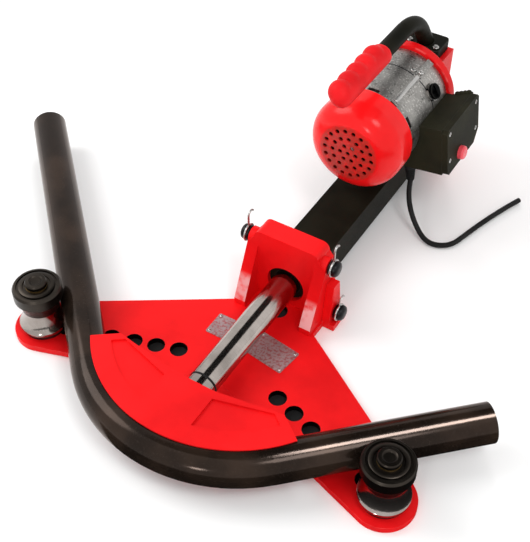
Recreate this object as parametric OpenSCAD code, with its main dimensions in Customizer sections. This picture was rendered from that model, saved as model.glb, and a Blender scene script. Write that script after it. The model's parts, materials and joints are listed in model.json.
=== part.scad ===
// Electro-hydraulic pipe bender, lying on its wing plate with a bent pipe in its former.
// Millimetres. +X to the right, -Y to the front (former), +Z up.
// The origin is on the wing plate's underside, below the ram axis, at the head's front face.

/* [Pipe] */
// outside diameter of the steel pipe in the former
pipe_od = 42.4; // [21:0.1:60]
// wall of the pipe
pipe_wall = 3.2; // [1.5:0.1:6]
// centre-line radius of the bend
bend_r = 160; // [130:1:200]
// half of the angle that the pipe is bent through
bend_half_deg = 44; // [30:1:55]
// straight leg on the left
left_leg = 430; // [200:1:600]
// straight leg on the right
right_leg = 224; // [160:1:600]
// bend centre ahead of the head, with the ram run out as shown
bend_ahead = 96; // [80:1:140]

/* [Wing plate] */
// thickness of the wing plate
plate_t = 8; // [5:0.5:16]
// roller holes on each side
hole_count = 7; // [4:1:9]
// bore of a roller hole
hole_d = 20; // [16:0.5:26]
// innermost roller hole from the centre line
hole_x = 64; // [55:1:80]
// innermost roller hole ahead of the head
hole_ahead = 122; // [110:1:140]
// radius of the plate's rounded tips
tip_r = 34; // [28:1:45]
// slope of the rear edges
rear_deg = 33; // [25:1:40]
// width of the tongue under the head
tongue_w = 104; // [90:1:130]
// reach of the tongue behind the head's front face
tongue_back = 40; // [26:1:80]
// drain hole in front of the head
drain_d = 22; // [10:1:28]
// width of the upright ear that the lower lock pin passes through
ear_w = 26; // [18:1:34]
// height of the ear above the plate
ear_h = 54; // [34:1:70]
// thickness of the ear
ear_t = 10; // [6:0.5:14]

/* [Rollers] */
// distance along the straight leg from the bend to the roller
roller_along = 102; // [80:1:140]
// radius of the roller's waist
waist_r = 20.8; // [15:0.1:26]
// radius of the roller's flanges
flange_r = 27; // [24:0.5:36]
// radius of the hollow in the roller's waist
hollow_r = 34; // [24:0.5:45]
// height of a roller
roller_h = 58.5; // [50:0.5:90]
// thickness of the thrust washer under a roller
washer_t = 6; // [2:0.5:10]
// thickness of the bush in a roller
bush_t = 2; // [1:0.25:3]
// diameter of the roller pin's head
pin_head_d = 24; // [22:1:32]
// height of the roller pin's head
pin_head_h = 6; // [3:0.5:12]

/* [Former] */
// height of the former
former_h = 46; // [44:1:70]
// angle that the former covers on each side of the ram
former_deg = 53.5; // [45:0.5:58]
// depth of the former behind the pipe's centre line
former_depth = 74; // [64:1:90]
// width of the former at its tips
tip_w = 32; // [26:1:50]
// depth of the sunken webs
web_recess = 2.5; // [1:0.5:8]
// depth of the rod socket
socket_depth = 30; // [20:1:45]
// width of the hub round the socket
hub_w = 52; // [44:1:66]

/* [Ram] */
// height of the ram axis above the floor
ram_z = 38; // [36:0.5:60]
// diameter of the ram rod
rod_d = 32; // [24:0.5:33]
// bore of the cylinder
bore_d = 34; // [33.5:0.1:36]
// length of the piston land
piston_l = 30; // [20:1:50]
// rod between the head's front face and the piston land
rod_inside = 60; // [50:1:90]

/* [Head] */
// width of the head
head_w = 100; // [90:1:120]
// depth of the head
head_depth = 25; // [22:0.5:45]
// top of the head above the floor
head_top = 103; // [98:1:130]
// width of the head's crown
crown_w = 82; // [70:1:90]
// height where the shoulders start
shoulder_z = 82; // [72:1:88]
// mouth in the head's front face
mouth_d = 47; // [44:0.5:54]
// depth of the mouth
mouth_depth = 12; // [8:0.5:14]
// reach of the gussets ahead of the head
gusset_reach = 30; // [15:1:32]
// thickness of a gusset
gusset_t = 14; // [6:1:16]
// diameter of a lock pin
lock_d = 12; // [8:0.5:16]
// diameter of a lock pin's knob
knob_d = 19; // [16:0.5:24]
// length of a lock pin's knob
knob_l = 12; // [8:0.5:18]
// wire of the spring clips
wire_d = 2.4; // [1.5:0.1:3]

/* [Cylinder bar] */
// width of the bar
bar_w = 56; // [50:1:80]
// height of the bar
bar_h = 42; // [40:0.5:44]
// length of the bar behind the head
bar_l = 275; // [260:1:340]

/* [Pump block] */
// width of the pump block
block_w = 60; // [54:1:90]
// length of the pump block
block_l = 57; // [50:1:80]
// top of the pump block above the floor
block_top = 162; // [158:1:180]
// diameter of the pump cartridge
cartridge_d = 28; // [24:0.5:30]

/* [Motor] */
// height of the motor axis above the floor
motor_z = 133; // [128:0.5:150]
// outer radius of the motor housing
motor_r = 55; // [52:0.5:56]
// wall of the motor housing
motor_wall = 4; // [2.5:0.1:6]
// length of the motor housing
motor_l = 108; // [104:1:130]
// outer radius of the fan cover
cover_r = 58; // [57.5:0.1:62]
// length of the fan cover
cover_l = 49; // [45:1:60]
// roundness of the fan cover's front
cover_round = 28; // [15:1:32]
// wall of the fan cover
cover_wall = 2; // [1.5:0.1:2.4]
// radius of the grille
grille_r = 34; // [30:0.5:37]
// bore of a grille hole
grille_hole = 5.5; // [3:0.1:6]
// radius of the rear ring
ring_r = 60; // [58:0.5:66]
// thickness of the rear ring
ring_t = 12; // [11:0.5:20]
// diameter of the motor shaft
shaft_d = 12; // [8:0.5:14]
// angle of the brush caps above level
brush_deg = 33; // [25:1:40]

/* [Handle] */
// height of the handle above the floor
handle_z = 229; // [226:1:250]
// outside diameter of the handle tube
tube_d = 20; // [18:0.5:22]
// wall of the handle tube
tube_wall = 2; // [1:0.25:4]
// radius of the handle's bend
handle_bend = 70; // [60:1:76]
// angle that the handle turns down
handle_deg = 53; // [49:1:58]
// length of the grip
grip_l = 107; // [95:1:120]
// diameter of the grip
grip_d = 26; // [25:0.5:30]
// width of the handle's foot
foot_w = 48; // [40:1:54]
// height of the handle's foot
foot_h = 14; // [12:0.5:18]
// finger bumps on the grip
bump_count = 5; // [3:1:6]

/* [Switch] */
// width of the switch box without its lid
box_w = 53.5; // [50:0.5:60]
// length of the switch box
box_l = 91; // [84:1:100]
// height of the switch box
box_h = 63; // [58:1:70]
// underside of the switch box above the floor, before it is turned
box_z = 75.5; // [72:0.5:80]
// angle that the switch box is turned round the motor
box_tilt = 8; // [0:1:10]
// wall of the switch box
box_wall = 3; // [2:0.5:5]
// thickness of the lid
lid_t = 7.5; // [5:0.5:10]
// diameter of the push button
button_d = 17; // [12:0.5:20]
// how far the button stands out
button_out = 7; // [5:0.5:10]
// travel of the button
button_travel = 4; // [2:0.5:4.5]
// diameter of the power cord
cord_d = 6.5; // [5:0.5:8]

/* [Hidden] */
$fn = 64;
// clearances: running fits, seated pieces, and the pipe at its roller
run_gap = 0.05;
seat_gap = 0.1;
roll_gap = 0.4;
past = 1;
// where a straight stretch runs into a bend: how far, and how much wider than the bend it is
lap = 1;
lap_step = 0.1;

pipe_r = pipe_od / 2;
groove_r = pipe_r + roll_gap;
rod_r = rod_d / 2;
bend_y = -bend_ahead;
leg_dir = [cos(bend_half_deg), sin(bend_half_deg)];
leg_out = [sin(bend_half_deg), -cos(bend_half_deg)];
bend_end = [0, bend_y] + bend_r * leg_out;
roller_at = bend_end + roller_along * leg_dir + (waist_r + roll_gap + pipe_r) * leg_out;
first_hole = [hole_x, -hole_ahead];
row_step = (roller_at - first_hole) / (hole_count - 1);
row_dir = row_step / norm(row_step);
row_front = [-row_dir.y, row_dir.x] * -1;
rear_out = [sin(rear_deg), cos(rear_deg)];
tip_rear = roller_at + tip_r * rear_out;
tip_front = roller_at + tip_r * row_front;
notch_y = tip_front.y - tip_front.x * row_dir.y / row_dir.x;
tongue_y = tip_rear.y + (tip_rear.x - tongue_w / 2) * tan(rear_deg);

roller_pin_r = hole_d / 2 - seat_gap;
roller_bore_r = roller_pin_r + run_gap + bush_t;
roller_z = plate_t + washer_t + 0.5;
roller_top = roller_z + roller_h;

former_r = bend_r - 3;
former_rear = bend_y - bend_r + former_depth;
former_z = ram_z - former_h / 2;
socket_front = former_rear - socket_depth;
tip_dir = [sin(former_deg), -cos(former_deg)];
tip_in = (former_r - tip_w) * tip_dir;
tip_out = 1.4 * bend_r * tip_dir;
rod_front = socket_front + 0.3;
piston_back = rod_inside + piston_l;

head_half = head_w / 2;
bar_y = head_depth;
bar_back = bar_y + bar_l;
bar_z = ram_z - bar_h / 2;
nose_d = bar_h - 1;
lock_y = 10;
upper_lock_z = shoulder_z + 3;
lower_lock_z = plate_t + 12;
upper_lock_x = crown_w / 2 + 9;
lower_lock_x = head_half + ear_t + 0.5;
lock_depth = 28;

block_back = bar_back + block_l;
ring_y = bar_back - ring_t;
motor_y = ring_y - motor_l;
cover_lap = 6;
cover_y = motor_y + cover_lap - cover_l;
motor_in = motor_r - motor_wall;
rotor_r = 29;
bearing_r = 16;
bearing_t = 8;
front_wall = 10;
core_y = motor_y + front_wall + 6;
core_l = 50;
commutator_y = core_y + core_l + 4;
commutator_l = 16;
commutator_r = 16;
brush_y = commutator_y + commutator_l / 2;
fan_inset = 14;
fan_y = cover_y + fan_inset;
cartridge_l = 36;
shaft_back = block_back - cartridge_l + 10;

grip_front = cover_y - 38;
tube_front = grip_front + 8;
bend_start = bar_back - 40;
bend_stop = [0, bend_start + handle_bend * sin(handle_deg), handle_z - handle_bend * (1 - cos(handle_deg))];
leg_end = block_top + tube_d / 2 * cos(handle_deg) + 0.5;
leg_len = (bend_stop.z - leg_end) / sin(handle_deg);
leg_front = bend_stop.y + (bend_stop.z - block_top - foot_h) / tan(handle_deg) - tube_d / 2 / sin(handle_deg);
foot_y = leg_front - 5;
foot_l = block_back - 1 - foot_y;

box_x = motor_r - 25;
box_back = bar_back + 2;
box_y = box_back - box_l;
box_end = ring_y - 0.6;
lid_x = box_x + box_w;
button_at = [lid_x + lid_t, box_y + 0.39 * box_l, box_z + 13];
gland_at = [box_x + 8, box_y + 8];
gland_l = 24;
collar_d = 15;

// A point of the switch box, turned with it round the motor's axis.
function turned(p) = [
    p.x * cos(box_tilt) - (p.z - motor_z) * sin(box_tilt), p.y,
    motor_z + p.x * sin(box_tilt) + (p.z - motor_z) * cos(box_tilt)
];

// Route of the power cord: down through its gland, then steps from there to its cut end on the floor,
// with each height as a share of the drop.
cord_low = cord_d / 2 + 0.75;
cord_exit = turned([gland_at.x, gland_at.y, box_z - gland_l]);
cord_drop = cord_exit.z - cord_low;
cord_steps = [
    [0.9, -2.5, 0.877], [2.8, -6.7, 0.752], [6, -11.7, 0.625], [10.2, -16.4, 0.504], [15.5, -21, 0.382],
    [21.8, -25.4, 0.265], [29, -29.7, 0.157], [37.2, -33.9, 0.071], [46.4, -36.9, 0.019], [56.1, -36.6, 0],
    [65.1, -32.9, 0], [72.4, -26.4, 0], [76.9, -18, 0], [80.6, -5.5, 0], [85.8, 13, 0], [91.6, 32.5, 0],
    [98.2, 52.5, 0], [106, 74, 0], [114.6, 95.3, 0]
];
cord_pts = concat(
    [for (up = [20, 10, 0]) turned([gland_at.x, gland_at.y, box_z - gland_l + up])],
    [for (c = cord_steps) [cord_exit.x + c.x, cord_exit.y + c.y, cord_low + c.z * cord_drop]]
);
cord_sides = 10;

red = [0.86, 0.06, 0.06];
black = [0.08, 0.08, 0.08];
steel = [0.72, 0.72, 0.72];
grey = [0.6, 0.6, 0.6];
rubber = [0.05, 0.05, 0.05];
brass = [0.75, 0.6, 0.3];
iron = [0.25, 0.24, 0.23];

// Turns +Z along +Y, from a point on an axis of height z.
module along_y(y, z) {
    translate([0, y, z]) rotate([-90, 0, 0]) children();
}

// Turns +Z along +X on the right (side 1) or -X on the left (side -1).
module along_x(side, x, y, z) {
    translate([side * x, y, z]) rotate([0, side * 90, 0]) children();
}

// Bar along Y with the profile of its child drawn in X and Z.
module profile_y(y, length) {
    translate([0, y + length, 0]) rotate([90, 0, 0]) linear_extrude(length) children();
}

// Plate along X with the profile of its child drawn in Y and Z.
module profile_x(x, length) {
    translate([x, 0, 0]) rotate([90, 0, 90]) linear_extrude(length) children();
}

// Ring of square section on +Z.
module ring(outer_r, inner_r, height) {
    difference() {
        cylinder(r = outer_r, h = height);
        translate([0, 0, -past]) cylinder(r = inner_r, h = height + 2 * past);
    }
}

// Box with rounded upright edges, from its low corner.
module soft_box(size, r) {
    for (x = [r, size.x - r], y = [r, size.y - r])
        translate([x, y, 0]) cylinder(r = r, h = size.z);
    translate([r, 0, 0]) cube([size.x - 2 * r, size.y, size.z]);
    translate([0, r, 0]) cube([size.x, size.y - 2 * r, size.z]);
}

function hole_at(i) = first_hole + i * row_step;

module wing_half(side) {
    mirror([side < 0 ? 1 : 0, 0]) {
        polygon([
            [0, notch_y], tip_front, roller_at, tip_rear,
            [tongue_w / 2, tongue_y], [tongue_w / 2, tongue_back], [0, tongue_back]
        ]);
        translate(roller_at) circle(r = tip_r);
    }
}

// Upright ear on the right, for the lower lock pin.
module ear() {
    x = head_half + 0.2;
    difference() {
        profile_x(x, ear_t) polygon([
            [lock_y - ear_w / 2, plate_t], [lock_y + ear_w / 2, plate_t],
            [lock_y + ear_w / 4, plate_t + ear_h], [lock_y - ear_w / 4, plate_t + ear_h]
        ]);
        along_x(1, x - past, lock_y, lower_lock_z) cylinder(d = lock_d + 2 * run_gap, h = ear_t + 2 * past);
    }
}

ear_margin = 6;
drain_gap = 4;
module base_plate() {
    color(red) difference() {
        union() {
            linear_extrude(plate_t) {
                wing_half(1);
                wing_half(-1);
            }
            translate([head_half, lock_y - ear_w / 2, 0]) cube([ear_t + ear_margin, ear_w, plate_t]);
            ear();
        }
        for (side = [-1, 1], i = [0 : hole_count - 1])
            translate([side * hole_at(i).x, hole_at(i).y, -past])
                cylinder(d = hole_d, h = plate_t + 2 * past);
        translate([0, -drain_d / 2 - drain_gap, -past]) cylinder(d = drain_d, h = plate_t + 2 * past);
    }
}

module head_outline() {
    crown = crown_w / 2;
    corner = 9;
    polygon([
        [-head_half, plate_t], [head_half, plate_t], [head_half, shoulder_z],
        [crown, head_top - corner], [-crown, head_top - corner], [-head_half, shoulder_z]
    ]);
    translate([-crown + corner, head_top - 2 * corner]) square([crown_w - 2 * corner, 2 * corner]);
    for (x = [-crown + corner, crown - corner]) translate([x, head_top - corner]) circle(r = corner);
}

module gusset(side) {
    x = side > 0 ? head_half - gusset_t : -head_half;
    profile_x(x, gusset_t) polygon([
        [past, plate_t], [-gusset_reach, plate_t], [-gusset_reach, plate_t + 8], [0, shoulder_z],
        [past, shoulder_z]
    ]);
}

module head() {
    color(red) difference() {
        union() {
            profile_y(0, head_depth) head_outline();
            gusset(1);
            gusset(-1);
            for (side = [-1, 1]) along_x(side, 30, lock_y, upper_lock_z)
                cylinder(d = lock_d + 8, h = upper_lock_x - 30.5);
        }
        along_y(-past, ram_z) cylinder(d = mouth_d, h = mouth_depth + past);
        along_y(0, ram_z) cylinder(d = nose_d + 2 * seat_gap, h = head_depth + past);
        for (side = [-1, 1]) along_x(side, upper_lock_x - lock_depth, lock_y, upper_lock_z)
            cylinder(d = lock_d + 2 * run_gap, h = lock_depth + past);
        along_x(1, lower_lock_x - lock_depth, lock_y, lower_lock_z)
            cylinder(d = lock_d + 2 * run_gap, h = lock_depth + past);
    }
}

module cylinder_bar() {
    color(black) difference() {
        union() {
            translate([-bar_w / 2, bar_y, bar_z]) cube([bar_w, bar_l, bar_h]);
            along_y(mouth_depth, ram_z) cylinder(d = nose_d, h = head_depth - mouth_depth + past);
        }
        along_y(mouth_depth - past, ram_z) cylinder(d = bore_d, h = bar_back - mouth_depth - 10 + past);
    }
}

wiper_t = 3;
module gland_nut() {
    color(black) along_y(mouth_depth - 7, ram_z) difference() {
        cylinder(d = mouth_d - 2 * seat_gap, h = 7 - seat_gap);
        translate([0, 0, -past]) cylinder(d = rod_d + 1, h = 9);
        translate([0, 0, 2]) cylinder(d = rod_d + 5, h = wiper_t);
    }
}

module rod_wiper() {
    color(rubber) along_y(mouth_depth - 7 + 2 + seat_gap, ram_z)
        ring(rod_r + 2.5 - seat_gap, rod_r + run_gap, wiper_t - 2 * seat_gap);
}

bush_l = 26;
module guide_bush() {
    color(brass) along_y(mouth_depth + seat_gap, ram_z) ring(bore_d / 2 - run_gap, rod_r + run_gap, bush_l);
}

seal_w = 5;
seal_y = rod_inside + piston_l / 2;
module ram_rod() {
    color(steel) difference() {
        union() {
            along_y(rod_front, ram_z) cylinder(d = rod_d, h = piston_back - rod_front);
            along_y(rod_inside, ram_z) cylinder(d = bore_d - 2 * run_gap, h = piston_l);
        }
        along_y(seal_y, ram_z) ring(bore_d, rod_r - 3, seal_w);
        translate([0, screw_y, former_z]) cylinder(d = 6, h = ram_z - rod_r + 4 - former_z);
    }
}

module piston_seal() {
    color(rubber) along_y(seal_y + seat_gap, ram_z)
        ring(bore_d / 2 - run_gap, rod_r - 3 + seat_gap, seal_w - 2 * seat_gap);
}

// Plan of the former: the inside of the bend, cut off square behind its hub.
module former_plan(edge_r) {
    intersection() {
        translate([0, bend_y]) circle(r = edge_r, $fn = 128);
        polygon([
            [-hub_w / 2, former_rear], [hub_w / 2, former_rear], [0, bend_y] + tip_in, [0, bend_y] + tip_out,
            [0, bend_y - 2 * bend_r], [-tip_out.x, bend_y + tip_out.y], [-tip_in.x, bend_y + tip_in.y]
        ]);
    }
}

// One sunken web beside the hub, inside a rim on every side.
rim = 9;
module web_pocket(side) {
    edge = hub_w / 2 + 3;
    inner = tip_in - rim * [1, 0.4];
    mirror([side < 0 ? 1 : 0, 0]) intersection() {
        translate([0, bend_y]) circle(r = former_r - 2.4 * rim, $fn = 128);
        polygon([
            [edge, former_rear - rim], [0, bend_y] + inner, [0, bend_y] + inner + 2 * tip_w * tip_dir,
            [edge, bend_y - bend_r]
        ]);
    }
}

screw_y = former_rear - socket_depth / 2;
module former() {
    color(red) difference() {
        translate([0, 0, former_z]) linear_extrude(former_h) former_plan(former_r);
        translate([0, bend_y, ram_z]) rotate_extrude($fn = 128) translate([bend_r, 0]) circle(r = groove_r);
        along_y(socket_front, ram_z) cylinder(d = rod_d + 2 * seat_gap, h = socket_depth + past);
        for (side = [-1, 1]) {
            translate([0, 0, former_z + former_h - web_recess])
                linear_extrude(web_recess + past) web_pocket(side);
            translate([0, 0, former_z - past]) linear_extrude(web_recess + past) web_pocket(side);
        }
        translate([0, screw_y, former_z - past]) cylinder(d = 8 + 2 * seat_gap, h = ram_z - former_z);
    }
}

// Grub screw that holds the former on the rod, from below.
module former_screw() {
    top = ram_z - rod_r + 3;
    color(iron) translate([0, screw_y, former_z + 0.5]) difference() {
        union() {
            cylinder(d = 8, h = ram_z - rod_r - 0.5 - former_z - 0.5);
            cylinder(d = 5.6, h = top - former_z - 0.5);
        }
        translate([0, 0, -past]) cylinder(d = 4, h = 3 + past, $fn = 6);
    }
}

module pipe_leg(side, length, r) {
    turn = side > 0 ? bend_half_deg : 180 - bend_half_deg;
    translate([side * bend_end.x, bend_end.y, ram_z]) rotate([0, 0, turn]) rotate([0, 90, 0])
        translate([0, 0, -lap]) cylinder(r = r + lap_step, h = length + lap);
}

module bent_pipe(r, extra) {
    pipe_leg(1, right_leg + extra, r);
    pipe_leg(-1, left_leg + extra, r);
    translate([0, bend_y, ram_z]) rotate([0, 0, -90 - bend_half_deg])
        rotate_extrude(angle = 2 * bend_half_deg, $fn = 96) translate([bend_r, 0]) circle(r = r);
}

module pipe() {
    color(iron) difference() {
        bent_pipe(pipe_r, 0);
        bent_pipe(pipe_r - pipe_wall, past);
    }
}

module at_roller(side, z) {
    translate([side * roller_at.x, roller_at.y, z]) children();
}

module roller(side) {
    color(steel) difference() {
        at_roller(side, roller_z) cylinder(r = flange_r, h = roller_h);
        at_roller(side, ram_z) rotate_extrude() translate([waist_r + hollow_r, 0]) circle(r = hollow_r);
        at_roller(side, roller_z - past) cylinder(r = roller_bore_r, h = roller_h + 2 * past);
        at_roller(side, roller_top - 2) ring(flange_r - 3, roller_bore_r + 3, 2 + past);
    }
}

module roller_bush(side) {
    color(brass) at_roller(side, roller_z)
        ring(roller_bore_r - run_gap, roller_pin_r + run_gap, roller_h);
}

module roller_washer(side) {
    color(iron) at_roller(side, plate_t) ring(flange_r - 3, hole_d / 2, washer_t);
}

module roller_pin(side) {
    color(iron) {
        at_roller(side, 0.5) cylinder(r = roller_pin_r, h = roller_top + 0.3 + pin_head_h - 0.5);
        at_roller(side, roller_top + 0.3) cylinder(d = pin_head_d, h = pin_head_h);
    }
}

groove_at = 3;
hook_r = 5;
module lock_pin(side, x, z) {
    color(black) along_x(side, x, lock_y, z) {
        translate([0, 0, -lock_depth + 1]) cylinder(d = lock_d, h = lock_depth);
        translate([0, 0, 0.3]) difference() {
            cylinder(d = knob_d, h = knob_l);
            translate([0, 0, groove_at]) ring(knob_d, knob_d / 2 - wire_d / 2, wire_d + 0.4);
        }
    }
}

// Spring wire round the knob, with a hooked tail that stands up.
module wire_clip(side, x, z, tail) {
    loop_r = knob_d / 2 + seat_gap + 0.1;
    middle = x + 0.3 + groove_at + wire_d / 2 + 0.2;
    color(steel) {
        along_x(side, middle, lock_y, z) rotate_extrude() translate([loop_r, 0]) circle(d = wire_d);
        translate([side * middle, lock_y, z + loop_r]) cylinder(r = wire_d / 2 + lap_step, h = tail + lap);
        translate([side * middle, lock_y + hook_r, z + loop_r + tail]) rotate([90, 0, 90]) rotate([0, 0, 30])
            rotate_extrude(angle = 150) translate([hook_r, 0]) circle(d = wire_d);
    }
}

// Bare plates on the wing plate: place, width and length.
left_label = [-34, -69, 40, 31];
right_label = [25, -72, 53, 35];
label_t = 0.8;
module data_plate(label, turn) {
    color(grey) translate([label[0], label[1], plate_t]) rotate([0, 0, turn])
        translate([-label[2] / 2, -label[3] / 2, 0]) soft_box([label[2], label[3], label_t], 2);
}

module pump_block() {
    color(red) difference() {
        translate([-block_w / 2, bar_back, bar_z]) cube([block_w, block_l, block_top - bar_z]);
        along_y(bar_back - past, motor_z) cylinder(d = shaft_d + 4, h = block_l + 2 * past);
        along_y(block_back - cartridge_l, motor_z) cylinder(d = cartridge_d, h = cartridge_l + past);
        along_x(-1, block_w / 2 - 22, release_y, release_z) cylinder(d = 8 + 2 * run_gap, h = 22 + past);
        along_x(1, block_w / 2 - 12, release_y, release_z) cylinder(d = 10 + 2 * seat_gap, h = 12 + past);
    }
}

module pump_cartridge() {
    color(steel) along_y(block_back - cartridge_l + 0.2, motor_z) difference() {
        cylinder(d = cartridge_d - 2 * seat_gap, h = cartridge_l - 0.4);
        translate([0, 0, -past]) cylinder(d = shaft_d + 2 * run_gap, h = 14 + past);
    }
}

module pump_cap() {
    color(black) along_y(block_back, motor_z) {
        difference() {
            cylinder(d = cartridge_d + 16, h = 5);
            for (a = [45 : 90 : 315]) rotate(a) translate([cartridge_d / 2 + 4, 0, 3]) cylinder(d = 6, h = 3);
        }
    }
}

module rear_foot() {
    color(black) translate([-block_w / 2 + 3, bar_back + 6, 0])
        soft_box([block_w - 6, block_l - 12, bar_z], 6);
}

release_y = bar_back + block_l / 2;
release_z = bar_z + 30;
module release_knob() {
    color(black) along_x(-1, block_w / 2 + 0.4, release_y, release_z) {
        translate([0, 0, -20.4]) cylinder(d = 8, h = 22);
        difference() {
            cylinder(d = 26, h = 14);
            for (a = [0 : 45 : 315]) rotate(a) translate([14.5, 0, -past]) cylinder(d = 7, h = 14 + 2 * past);
        }
    }
}

module oil_plug() {
    color(iron) along_x(1, block_w / 2, release_y, release_z) {
        translate([0, 0, -11]) cylinder(d = 10, h = 12);
        difference() {
            cylinder(d = 18, h = 5);
            translate([0, 0, 2]) cylinder(d = 9, h = 4, $fn = 6);
        }
    }
}

module rear_ring() {
    color(red) along_y(ring_y, motor_z) difference() {
        cylinder(r = ring_r, h = ring_t);
        translate([0, 0, -past]) cylinder(r = bearing_r + seat_gap, h = bearing_t + past + seat_gap);
        translate([0, 0, -past]) cylinder(d = shaft_d + 4, h = ring_t + 2 * past);
    }
}

module brush_axis(side) {
    translate([0, brush_y, motor_z]) rotate([0, side > 0 ? 90 - brush_deg : -90 - brush_deg, 0]) children();
}

holder_r = 6.5;
rib_w = 9;
rib_h = 3;
slot_degs = [0, 30, 90, 150, 180, 210, 270, 330];
slot_w = 14;
slot_l = 5;
module motor_housing() {
    color(grey) difference() {
        union() {
            along_y(motor_y, motor_z) {
                cylinder(r = motor_r, h = motor_l);
                for (a = [60, 120, 240, 300]) rotate(a) translate([motor_in + 1, -rib_w / 2, cover_lap + 2])
                    cube([motor_wall + rib_h - 1, rib_w, motor_l - cover_lap - 4]);
            }
            for (side = [-1, 1]) brush_axis(side) translate([0, 0, motor_in + 1.5])
                cylinder(r = 11, h = motor_wall + 0.5);
        }
        along_y(motor_y + front_wall, motor_z) cylinder(r = motor_in, h = motor_l);
        along_y(motor_y - past, motor_z) cylinder(r = bearing_r + seat_gap, h = front_wall + 2 * past);
        along_y(motor_y - past, motor_z) for (a = [30 : 60 : 330]) rotate(a) translate([34, 0, 0])
            cylinder(r = 10, h = front_wall + 2 * past);
        along_y(motor_y, motor_z) for (a = slot_degs) rotate(a)
            translate([motor_in - past, -slot_w / 2, front_wall + 0.5])
                cube([motor_wall + 2 * past, slot_w, slot_l]);
        for (side = [-1, 1]) brush_axis(side) translate([0, 0, motor_in - 10])
            cylinder(r = holder_r + seat_gap, h = motor_wall + 20);
    }
}

module stator() {
    color(iron) along_y(core_y, motor_z) difference() {
        cylinder(r = motor_in - seat_gap, h = core_l);
        translate([0, 0, -past]) cylinder(r = rotor_r + 0.6, h = core_l + 2 * past);
        for (a = [0 : 90 : 270]) rotate(a) translate([rotor_r + 10, 0, -past])
            cylinder(r = 5, h = core_l + 2 * past);
    }
}

module rotor() {
    color(steel) {
        along_y(fan_y - 4, motor_z) cylinder(d = shaft_d, h = shaft_back - fan_y + 4);
        along_y(core_y, motor_z) difference() {
            cylinder(r = rotor_r, h = core_l);
            for (a = [0 : 30 : 330]) rotate(a) translate([rotor_r - 3, 0, -past])
                cylinder(r = 2, h = core_l + 2 * past);
        }
    }
}

module commutator() {
    color(brass) along_y(commutator_y, motor_z) ring(commutator_r, shaft_d / 2 + run_gap, commutator_l);
}

blade_count = 9;
fan_l = 16;
fan_disc = 2;
module fan() {
    fan_r = cover_r - 12;
    color(black) along_y(fan_y, motor_z) difference() {
        union() {
            cylinder(r = shaft_d, h = fan_l);
            translate([0, 0, fan_l - fan_disc]) cylinder(r = fan_r, h = fan_disc);
            for (i = [0 : blade_count - 1]) rotate(i * 360 / blade_count) translate([shaft_d - 2, -1, 4])
                cube([fan_r - shaft_d, 2, fan_l - 5]);
        }
        translate([0, 0, -past]) cylinder(d = shaft_d + 2 * run_gap, h = fan_l + 2 * past);
    }
}

module dome(r, length, round_r) {
    rotate_extrude($fn = 96) {
        square([r - round_r, length]);
        translate([0, round_r]) square([r, length - round_r]);
        intersection() {
            square([r, round_r]);
            translate([r - round_r, round_r]) circle(r = round_r);
        }
    }
}

grille_rings = 3;
module fan_cover() {
    pitch = grille_r / (grille_rings + 0.4);
    color(red) along_y(cover_y, motor_z) difference() {
        dome(cover_r, cover_l, cover_round);
        translate([0, 0, cover_wall]) dome(cover_r - cover_wall, cover_l, cover_round - cover_wall);
        translate([0, 0, -past]) cylinder(d = grille_hole, h = 8);
        for (i = [1 : grille_rings], k = [0 : 6 * i - 1]) rotate(k * 60 / i) translate([i * pitch, 0, -past])
            cylinder(d = grille_hole, h = 8, $fn = 24);
    }
}

module bearing(y) {
    color(steel) along_y(y, motor_z) ring(bearing_r, shaft_d / 2 + run_gap, bearing_t);
}

module brush_holder(side) {
    color(brass) brush_axis(side) translate([0, 0, commutator_r + 6])
        ring(holder_r, 4 + seat_gap, motor_r - commutator_r - 6.5);
}

module brush(side) {
    color(iron) brush_axis(side) translate([0, 0, commutator_r + 0.4]) cylinder(r = 4, h = 26);
}

module brush_cap(side) {
    color(rubber) brush_axis(side) translate([0, 0, motor_r + 2.2]) difference() {
        cylinder(r = 9.5, h = 3.5);
        translate([-7, -1, 2]) cube([14, 2, 3]);
    }
}

// Turns +Z down the handle's rear leg, from the end of its bend.
module down_leg() {
    translate(bend_stop) rotate([-90 - handle_deg, 0, 0]) children();
}

module bent_handle(r, extra) {
    along_y(tube_front - extra, handle_z)
        cylinder(r = r + lap_step, h = bend_start - tube_front + extra + lap);
    translate([0, bend_start, handle_z - handle_bend]) rotate([90, 0, 90]) rotate([0, 0, 90 - handle_deg])
        rotate_extrude(angle = handle_deg, $fn = 96) translate([handle_bend, 0]) circle(r = r);
    down_leg() translate([0, 0, -lap]) cylinder(r = r + lap_step, h = leg_len + extra + lap);
}

module handle_tube() {
    color(black) difference() {
        bent_handle(tube_d / 2 - lap_step, 0);
        bent_handle(tube_d / 2 - tube_wall, past);
    }
}

module handle_foot() {
    color(black) difference() {
        translate([-foot_w / 2, foot_y, block_top]) soft_box([foot_w, foot_l, foot_h], 6);
        down_leg() cylinder(d = tube_d + 2 * seat_gap, h = leg_len + seat_gap);
    }
}

module handle_grip() {
    grip_r = grip_d / 2;
    step = (grip_l - grip_d - 4) / (bump_count - 1);
    bump_off = 3;
    color(red) difference() {
        union() {
            along_y(grip_front + grip_r, handle_z) cylinder(r = grip_r, h = grip_l - grip_r);
            translate([0, grip_front + grip_r, handle_z]) sphere(r = grip_r);
            for (i = [0 : bump_count - 1])
                translate([-bump_off, grip_front + grip_r + 2 + i * step, handle_z + bump_off])
                    sphere(r = grip_r + 0.5);
        }
        along_y(tube_front - seat_gap, handle_z) cylinder(d = tube_d + 2 * seat_gap, h = grip_l);
    }
}

// Turns the pieces of the switch box round the motor's axis.
module on_motor() {
    translate([0, 0, motor_z]) rotate([0, -box_tilt, 0]) translate([0, 0, -motor_z]) children();
}

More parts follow.
